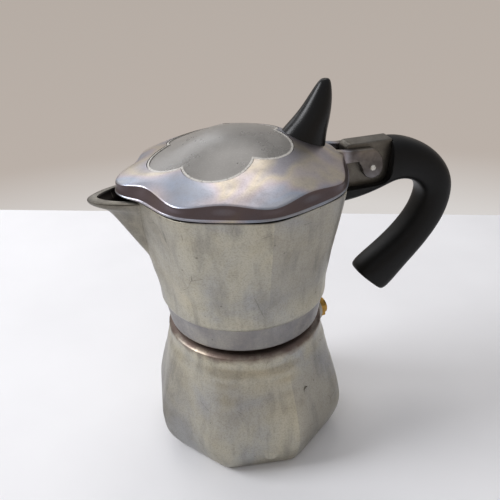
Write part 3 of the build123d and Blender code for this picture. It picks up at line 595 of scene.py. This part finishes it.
# height, centre to facet, corner hold
FLARE = (
    (81.0, 38.35, 0.1), (85.0, 38.6, 0.4), (92.6, 39.3, 1.0), (100.0, 40.2, 1.3), (107.0, 41.2, 1.6),
    (114.0, 42.5, 1.8), (120.5, 43.8, 1.8), (127.5, 45.2, 1.7), (132.9, 46.2, 1.6), (133.8, 46.3, 1.6), (134.1, 45.9, 1.6),
)
CHAMBER = (
    (134.1, 44.6, 2.3), (133.7, 44.1, 2.3), (127.5, 42.7, 2.2), (120.5, 41.2, 2.0), (114.0, 39.9, 1.8),
    (107.0, 38.6, 1.5), (100.0, 37.5, 1.1), (92.6, 36.6, 0.7), (87.0, 35.4, 0.2), (84.2, 33.4, 0.0), (83.2, 30.5, 0.0),
)
COLUMN = (
    (16.0, 83.2), (11.5, 83.6), (9.5, 85.6), (7.9, 100.0), (6.5, 114.0), (6.3, 116.2), (5.2, 117.7), (3.0, 118.1),
)
UNDERSIDE = (
    (3.7, 115.1), (4.0, 114.8), (4.0, 84.0), (4.4, 82.3), (26.6, 80.6), (32.4, 80.6), (32.7, 80.3), (32.7, 76.9),
)
collector = start_ring("collector_casting", SIDES, 2.4 * ROUND, 115.1)
draw_round(collector, UNDERSIDE)
for row in reversed(range(THREAD_ROWS)):
    crest = 68.7 + THREAD_PITCH * row
    draw_round(collector, ((32.7, crest + 1.6), (32.35, crest + 1.0), (32.35, crest + 0.6), (32.7, crest)))
draw_round(collector, COLLAR)
draw_facets(collector, FLARE)
draw_facets(collector, CHAMBER)
draw_round(collector, COLUMN)
close_end()


def collector_hold(one, two):
    """Facet corners firm up towards the rim, inside and out."""
    middle = (one.z + two.z) / 2
    wall = FLARE if min(one.xy.length, two.xy.length) > (two.z - 80) * 0.12 + 38.6 else CHAMBER
    if middle < 80 or min(one.xy.length, two.xy.length) < 34:
        return 1.6 if level(one, two) and 78.6 < middle < 78.95 else 0.0
    if level(one, two):
        return 0.0
    return min(wall, key=lambda ring: abs(ring[0] - middle))[2]


hold_edges(collector, collector_hold)
smooth_over(collector)


# spout: height, keel distance, half width at the root
KEEL = (
    (92.0, 33.5, 2.2), (97.0, 38.6, 4.0), (104.0, 42.7, 5.9), (111.0, 46.8, 7.6), (118.1, 50.9, 9.0),
    (124.0, 54.4, 10.6), (127.6, 56.8, 11.8), (129.4, 59.4, 12.6), (130.6, 62.6, 13.2), (131.8, 64.4, 13.6), (133.1, 64.8, 13.8),
    (133.95, 64.2, 13.6),
)
ROOT_X = -30.0


def draw_beak(name, sections, tip):
    """Pointed trough: each section's eight points run from the pot's axis out to the keel and back."""
    set_down()
    bpy.ops.mesh.primitive_circle_add(vertices=8, radius=MM, fill_type="NGON")
    piece = bpy.context.object
    piece.name = name
    corner = piece.data.attributes.new("corner", "INT", "POINT")
    for number in range(8):
        corner.data[number].value = number
    bpy.ops.object.mode_set(mode="EDIT")
    bpy.ops.mesh.select_all(action="SELECT")
    for number, (height, keel, half) in enumerate(sections):
        if number:
            bpy.ops.mesh.extrude_region_move()
        shape = bmesh.from_edit_mesh(piece.data)
        mark = shape.verts.layers.int["corner"]
        reach = keel + ROOT_X
        side = (
            (ROOT_X, half), (ROOT_X - 0.42 * reach, half), (ROOT_X - 0.82 * reach, 0.50 * half + 0.4 * tip),
            (-keel, 0.5 * tip),
        )
        outline = side + tuple((x, -y) for x, y in reversed(side))
        for point in (v for v in shape.verts if v.select):
            x, y = outline[point[mark]]
            point.co = (x * MM, y * MM, height * MM)
        bmesh.update_edit_mesh(piece.data)
    bpy.ops.mesh.select_all(action="SELECT")
    bpy.ops.mesh.normals_make_consistent(inside=False)
    bpy.ops.object.mode_set(mode="OBJECT")
    return piece


def trough_hold(one, two):
    return 4.0 if min(one.x, two.x) > ROOT_X - 0.5 else 0.0


def chamber_hold(one, two):
    middle = (one.z + two.z) / 2
    return 0.0 if level(one, two) else min(CHAMBER, key=lambda ring: abs(ring[0] - middle))[2]


beak = draw_beak("spout_outside", KEEL, 3.8)
hold_edges(beak, trough_hold)
smooth_over(beak)
# its root is cut back to the middle of the chamber wall before it is joined on
IN_WALL = 0.8
root = start_ring("root", SIDES, held(33.4 + IN_WALL, 0), 84.2)
draw_facets(root, [(height, flat + IN_WALL, hold) for height, flat, hold in reversed(CHAMBER[:-2])])
draw_facets(root, ((139.0, 44.6 + IN_WALL, 2.3),))
close_end()
hold_edges(root, chamber_hold)
smooth_over(root)
cut_with(beak, root)
cut_with(collector, beak, "UNION")
INSIDE = [(height + 1.6, keel - 2.8, half - 1.9) for height, keel, half in KEEL[2:-3]]
channel = draw_beak("spout_inside", INSIDE + [(136.0, 62.0, 12.2), (139.0, 62.2, 12.2)], 2.4)
hold_edges(channel, trough_hold)
smooth_over(channel)
cut_with(collector, channel)

# rear lug: carries the pin and the handle
lug = prism((
    (42.4, 117.4), (70.6, 123.0), (70.6, 142.8), (49.7, 142.8), (48.2, 141.3), (48.2, 133.9), (45.2, 133.9),
), 4.2, 0.7)
cut_with(collector, lug, "UNION")
cut_with(collector, across(1.45, PIN_X, PIN_Z, 9))
# side slots that let the coffee out of the column
COLUMN_SLOT = ((-2.2, 110.0), (2.2, 110.0), (2.2, 113.6), (1.2, 114.4), (-1.2, 114.4), (-2.2, 113.6))
cut_with(collector, prism(COLUMN_SLOT, 8.0))

# ------------------------------------------------------------ lid
PETALS = 5
WINDOW_X = -7.3
COLUMNS = 32
LOBES = 8


def lobe_wave(turn):
    """1 on a lobe, 0 in the middle of a scallop."""
    return (0.5 + 0.5 * cos(radians(LOBES * turn))) ** 1.35


def draw_ring(piece, radius_of, height_of):
    """Extrude the open edge, then set each column's radius and height by its direction."""
    bpy.ops.mesh.extrude_region_move()
    shape = bmesh.from_edit_mesh(piece.data)
    for point in (v for v in shape.verts if v.select):
        turn = degrees(atan2(point.co.y, point.co.x))
        radius = radius_of(turn)
        point.co = (radius * MM * cos(radians(turn)), radius * MM * sin(radians(turn)), height_of(turn) * MM)
    bmesh.update_edit_mesh(piece.data)


def bead_radius(turn):
    return 47.25 + 1.75 * lobe_wave(turn)


def edge_radius(turn):
    return 44.2 + 4.7 * lobe_wave(turn)


def foot_radius(turn):
    return 46.5 + 2.3 * lobe_wave(turn)


def edge_height(turn):
    return 141.15 - 2.1 * lobe_wave(turn)


# radius and height of the lid's top and underside, inside its edge
DOME = ((10.0, 154.5), (18.0, 152.6), (25.0, 149.6), (31.0, 146.8), (36.0, 144.7), (40.0, 143.1))
CEILING = ((40.4, 140.2), (36.0, 142.3), (31.0, 144.4), (25.0, 147.2), (18.0, 150.2), (10.0, 152.2), (4.0, 152.9))


def draw_dome(piece, rings, drop=0.0):
    """Extrude the open edge through round rings, all lowered by a drop."""
    for radius, height in rings:
        draw_ring(piece, lambda turn: radius, lambda turn: height - drop)


# how far past the lid's edge, and how high from it
LIP = ((-1.6, 0.62), (-0.5, 0.16), (0.0, -0.35), (0.1, -1.0))
# how far past the bead's line, and its height
BEAD = ((-0.1, 135.35), (0.0, 135.05), (-0.1, 134.7), (-0.5, 134.6))
lid = start_ring("lid_casting", COLUMNS, 4.0, 155.05)
draw_dome(lid, DOME)
for past, rise in LIP:
    draw_ring(lid, lambda turn: edge_radius(turn) + past, lambda turn: edge_height(turn) + rise)
draw_ring(lid, lambda turn: foot_radius(turn) - 0.35, lambda turn: 136.9)
draw_ring(lid, foot_radius, lambda turn: 135.75)
draw_ring(lid, lambda turn: max(foot_radius(turn) + 0.15, bead_radius(turn) - 0.55), lambda turn: 135.5)
for past, height in BEAD:
    draw_ring(lid, lambda turn: bead_radius(turn) + past, lambda turn: height)
draw_dome(lid, ((42.4, 134.6), (41.8, 135.1), (41.6, 138.6)) + CEILING)
close_end()
# tongue over the spout: its columns are drawn forward and the two beside it are tucked in
TONGUE = {0: (-4.9, 0.0), 1: (-2.5, 8.8), 2: (-0.8, 12.7)}
for point in lid.data.vertices:
    place = point.co / MM
    away = round(degrees(atan2(place.y, -place.x)) / 11.25)
    if place.xy.length > 42.5 and abs(away) < 3 and place.z < 143.0:
        forward, aside = TONGUE[abs(away)]
        start = -place.xy.length if abs(away) == 1 else place.x
        point.co.x = (start + forward) * MM
        if away:
            point.co.y = aside * MM * (1 if away > 0 else -1)
smooth_over(lid)


PETAL_MIDDLE = 16.36
PETAL_RADIUS = 15.04


def flower_cutter(name, shrink):
    """Upright prism with five round petals about the window's middle, each shrunk by a little."""
    low, high = 130, 170
    whole = upright_bar(16.0, WINDOW_X, low, high)
    whole.name = name
    for petal in range(PETALS):
        turn = radians(72 * petal + 36)
        x, y = WINDOW_X + PETAL_MIDDLE * cos(turn), PETAL_MIDDLE * sin(turn)
        cut_with(whole, round_bar(PETAL_RADIUS - shrink, (x, y, low), (x, y, high), sides=96), "UNION")
    return whole


# window: a clear panel dropped into the flower-shaped hole
RIM_UNDER = ((40.0, 140.7), (36.0, 142.3), (31.0, 144.4), (25.0, 147.2), (18.0, 150.2), (10.0, 152.1), (4.0, 152.65))
RIM_WIDTH = 0.85
window = start_ring("window_panel", COLUMNS, 4.0, 154.85)
draw_dome(window, DOME, drop=0.2)
draw_dome(window, RIM_UNDER)
close_end()
smooth_over(window)
cut_with(window, flower_cutter("petals_window", 0.3), "INTERSECT")
cut_with(window, flower_cutter("petals_inside", 0.3 + RIM_WIDTH))
# the panel inside its rim lies a little lower
panel = start_ring("window_middle", COLUMNS, 4.0, 154.4)
draw_dome(panel, DOME, drop=0.65)
draw_dome(panel, RIM_UNDER, drop=-0.2)
close_end()
smooth_over(panel)
cut_with(panel, flower_cutter("petals_middle", 0.3 + RIM_WIDTH), "INTERSECT")
cut_with(lid, flower_cutter("petals_hole", 0.0))

# hinge ears, one each side of the lug, and the notch that clears it
EAR = (
    (40.6, 135.3), (53.0, 135.3), (55.1, 131.6), (55.5, 129.5), (57.0, 127.6), (59.0, 126.7), (61.0, 126.7),
    (63.0, 127.6), (64.5, 129.4), (65.0, 131.6), (64.4, 136.0), (62.4, 138.8), (60.0, 140.6), (48.0, 140.9),
    (40.6, 141.9),
)
cut_with(lid, prism(((43.6, 120.0), (90.0, 120.0), (90.0, 170.0), (43.6, 170.0)), 4.6))
for side in (-1, 1):
    ear = prism(EAR, 1.55, 0.5)
    for point in ear.data.vertices:
        point.co.y += side * 6.15 * MM
    cut_with(lid, ear, "UNION")
cut_with(lid, across(1.385, PIN_X, PIN_Z, 9.3, sides=40))
cut_with(lid, upright_bar(4.6, KNOB_SCREW_X, 141.6, 146.5), "UNION")
cut_with(lid, upright_bar(1.8, KNOB_SCREW_X, 130, 170))

# ------------------------------------------------------------ knob
# height, centre distance, half length along X, half width along Y
HORN = (
    (143.0, 27.6, 12.4, 8.6), (146.0, 28.2, 12.0, 8.3), (149.5, 29.3, 11.3, 7.9), (153.0, 31.4, 9.9, 7.3),
    (156.5, 33.6, 8.3, 6.6), (160.5, 35.6, 6.8, 5.6), (164.5, 37.1, 5.4, 4.6), (168.0, 38.2, 4.0, 3.5),
    (170.4, 38.9, 2.9, 2.5), (171.6, 39.2, 1.9, 1.6), (171.75, 39.25, 0.9, 0.8),
)
FOOT_X, FOOT_Z, FOOT_HALF_LENGTH, FOOT_HALF_WIDTH = 27.2, 139.5, 12.2, 8.5
knob = start_ring("knob_horn", 12, 1.0, FOOT_Z)
bpy.ops.transform.resize(value=(FOOT_HALF_LENGTH, FOOT_HALF_WIDTH, 1), center_override=(0, 0, FOOT_Z * MM))
bpy.ops.transform.translate(value=(FOOT_X * MM, 0, 0))
last = (FOOT_Z, FOOT_X, FOOT_HALF_LENGTH, FOOT_HALF_WIDTH)
for ring in HORN:
    rise, lean = (ring[0] - last[0]) * MM, (ring[1] - last[1]) * MM
    bpy.ops.mesh.extrude_region_move(TRANSFORM_OT_translate={"value": (lean, 0, rise)})
    bpy.ops.transform.resize(
        value=(ring[2] / last[2], ring[3] / last[3], 1), center_override=(ring[1] * MM, 0, ring[0] * MM))
    last = ring
close_end()
smooth_over(knob)
# the seat stands a hair above the lid, so the knob's foot follows the dome
seat = start_ring("seat", COLUMNS, 4.0, 155.1)
draw_dome(seat, DOME, drop=-0.05)
draw_dome(seat, ((46.0, 140.9), (46.0, 120.0)))
close_end()
smooth_over(seat)
cut_with(knob, seat)
cut_with(knob, upright_bar(1.49, KNOB_SCREW_X, 130, 158))


# ------------------------------------------------------------ handle
# centre along X, centre height, heading below the horizontal in degrees, depth, width
GRIP = (
    (46.4, 128.5, 0.0, 26.6, 17.0), (47.6, 128.6, 0.0, 26.8, 17.4), (56.0, 129.1, 0.0, 25.8, 17.4),
    (66.4, 130.6, 0.0, 22.9, 17.4), (75.5, 131.9, 4.0, 20.0, 17.4), (87.0, 128.0, 31.0, 17.6, 17.4),
    (94.4, 119.9, 60.0, 16.6, 17.4), (95.8, 111.6, 88.0, 16.0, 17.4),
    (92.6, 100.8, 106.0, 15.8, 17.4), (84.3, 89.6, 124.0, 15.8, 17.4), (75.8, 81.2, 131.0, 17.0, 17.4),
    (68.8, 74.6, 132.0, 20.0, 17.4),
    (65.2, 71.2, 133.0, 19.8, 16.8), (64.0, 70.0, 133.0, 17.8, 14.8), (63.7, 69.7, 133.0, 14.0, 11.0),
)
ROUND_12 = 1 / 0.955
SQUARENESS = 0.72


def squared(value):
    return (1 if value > 0 else -1) * abs(value) ** SQUARENESS


def draw_grip(sections):
    """Rounded bar drawn along a bent line, twelve points a section."""
    middles = [Vector((x, 0, z)) for x, z, heading, depth, width in sections]
    # smoothing pulls a bend inwards by a sixth of its turn, so its middles are set out by as much
    middles[1:-1] = [b + (2 * b - a - c) / 6 for a, b, c in zip(middles, middles[1:], middles[2:])]
    piece = start_ring("handle_grip", 12, 1.0, 0.0, 15.0)
    for number, (middle, (x, z, heading, depth, width)) in enumerate(zip(middles, sections)):
        if number:
            bpy.ops.mesh.extrude_region_move()
        shape = bmesh.from_edit_mesh(piece.data)
        mark = shape.verts.layers.float.get("turn") or shape.verts.layers.float.new("turn")
        upward = Vector((sin(radians(heading)), 0, cos(radians(heading))))
        for point in (v for v in shape.verts if v.select):
            if not number:
                point[mark] = atan2(point.co.y, point.co.x)
            aside = squared(sin(point[mark])) * width / 2 * ROUND_12
            rise = squared(cos(point[mark])) * depth / 2 * ROUND_12
            point.co = (middle + Vector((0, aside, 0)) + upward * rise) * MM
        bmesh.update_edit_mesh(piece.data)
    close_end()
    return piece


grip = draw_grip(GRIP)
smooth_over(grip)
# pocket that the ears turn in, slot over the lug, and the screw's hole
POCKET = (
    (30.0, 122.6), (64.6, 122.6), (67.0, 123.3), (68.5, 124.9), (69.2, 127.4), (69.45, 131.6), (70.35, 143.6),
    (70.35, 180.0), (30.0, 180.0),
)
LUG_SLOT = ((27.0, 114.2), (43.6, 117.3), (70.9, 122.7), (70.9, 172.0), (27.0, 172.0))
cut_with(grip, prism(POCKET, 20.0))
cut_with(grip, prism(LUG_SLOT, 4.5))
cut_with(grip, upright_bar(1.8, HANDLE_SCREW_X, 100.0, 140.0))
cut_with(grip, upright_bar(3.3, HANDLE_SCREW_X, 100.0, 118.2))
finish_with(grip, "BEVEL", width=0.5 * MM, segments=2, limit_method="ANGLE", angle_limit=radians(50))

# ------------------------------------------------------------ hand the pieces over
hand_over(boiler, "boiler", "cast_aluminium", CAST, "boiler")
hand_over(collector, "collector", "cast_aluminium", CAST, "collector")
hand_over(lid, "lid", "lid_aluminium", LID, "lid")
hand_over(window, "lid", "clear_panel", rim_painted_highlight(), "lid_window")
hand_over(panel, "lid", "clear_panel", FINISHES["lid_window"], "lid_window")
hand_over(knob, "lid", "knob_black", FINISHES["knob"], "knob")
hand_over(grip, "collector", "handle_black", FINISHES["handle"], "handle")

# ------------------------------------------------------------ table, light and camera
VIEW_TURN = radians(-15.75)
VIEW_RISE = radians(29.0)
VIEW_ROLL = radians(-2.19)
VIEW_DISTANCE = 0.2947
TABLE_TURN = radians(-22.2)
VIEW_CENTRE = Vector((0.0037 * cos(VIEW_TURN), 0.0037 * sin(VIEW_TURN), 0.0972))
LENS = 46.27

bpy.ops.object.select_all(action="DESELECT")
bpy.ops.mesh.primitive_plane_add(size=1.0, location=(0, 0, 0))
table = bpy.context.object
table.name = "table_top"
table.scale = (1.6, 0.482, 1)
table.rotation_euler = (0, 0, TABLE_TURN)
bpy.ops.object.transform_apply(location=False, rotation=True, scale=True)
table.data.materials.append(melamine())

world = bpy.data.worlds.new("room")
bpy.context.scene.world = world
world.use_nodes = True
ground = world.node_tree.nodes["Background"]
add = partial(add_node, world.node_tree)
height = add("SeparateXYZ", (add("TexCoord", output="Generated"),), "Z")
tone = add("ValToRGB", (add("MapRange", (height, -1.0, 1.0)),), stops=(
    (0.0, "#e2e0de"), (0.29, "#d6d2cf"), (0.33, "#bab0a8"), (0.50, "#b4aba3"), (0.62, "#b5afaa"), (0.80, "#b2b2b4"),
    (1.0, "#c0c1c4"),
))
world.node_tree.links.new(tone, ground.inputs["Color"])
ground.inputs["Strength"].default_value = 1.0


def softbox(name, place, aim, width, depth, power, tint):
    """Rectangular soft light at a place, aimed at a point."""
    light = bpy.data.lights.new(name, "AREA")
    light.shape = "RECTANGLE"
    light.size = width
    light.size_y = depth
    light.energy = power
    light.color = linear(tint)
    lamp = bpy.data.objects.new(name, light)
    bpy.context.scene.collection.objects.link(lamp)
    lamp.location = place
    lamp.rotation_euler = (Vector(aim) - Vector(place)).to_track_quat("-Z", "Y").to_euler()


softbox("ceiling_light", (0.06, 0.30, 0.80), (0, 0, 0.10), 0.42, 0.32, 1.15, "#fffaf6")
softbox("back_light", (-0.20, 0.95, 0.70), (0, 0, 0.12), 0.70, 0.40, 1.6, "#f6f7fa")
softbox("window_light", (-1.08, 0.20, 0.95), (0, 0, 0.06), 0.60, 0.60, 12.6, "#fafbff")

turned = Vector((cos(VIEW_TURN), sin(VIEW_TURN), 0))
back = Vector((sin(VIEW_TURN) * cos(VIEW_RISE), -cos(VIEW_TURN) * cos(VIEW_RISE), sin(VIEW_RISE)))
over = back.cross(turned)
right = cos(VIEW_ROLL) * turned + sin(VIEW_ROLL) * over
upward = -sin(VIEW_ROLL) * turned + cos(VIEW_ROLL) * over
lens = bpy.data.cameras.new("camera")
lens.lens = LENS
lens.sensor_width = 36.0
lens.clip_start = 0.01
camera = bpy.data.objects.new("camera", lens)
bpy.context.scene.collection.objects.link(camera)
camera.matrix_world = Matrix.Translation(VIEW_CENTRE + VIEW_DISTANCE * back) @ Matrix(
    (right, upward, back)
).transposed().to_4x4()
bpy.context.scene.camera = camera
bpy.context.scene.view_settings.view_transform = "Standard"
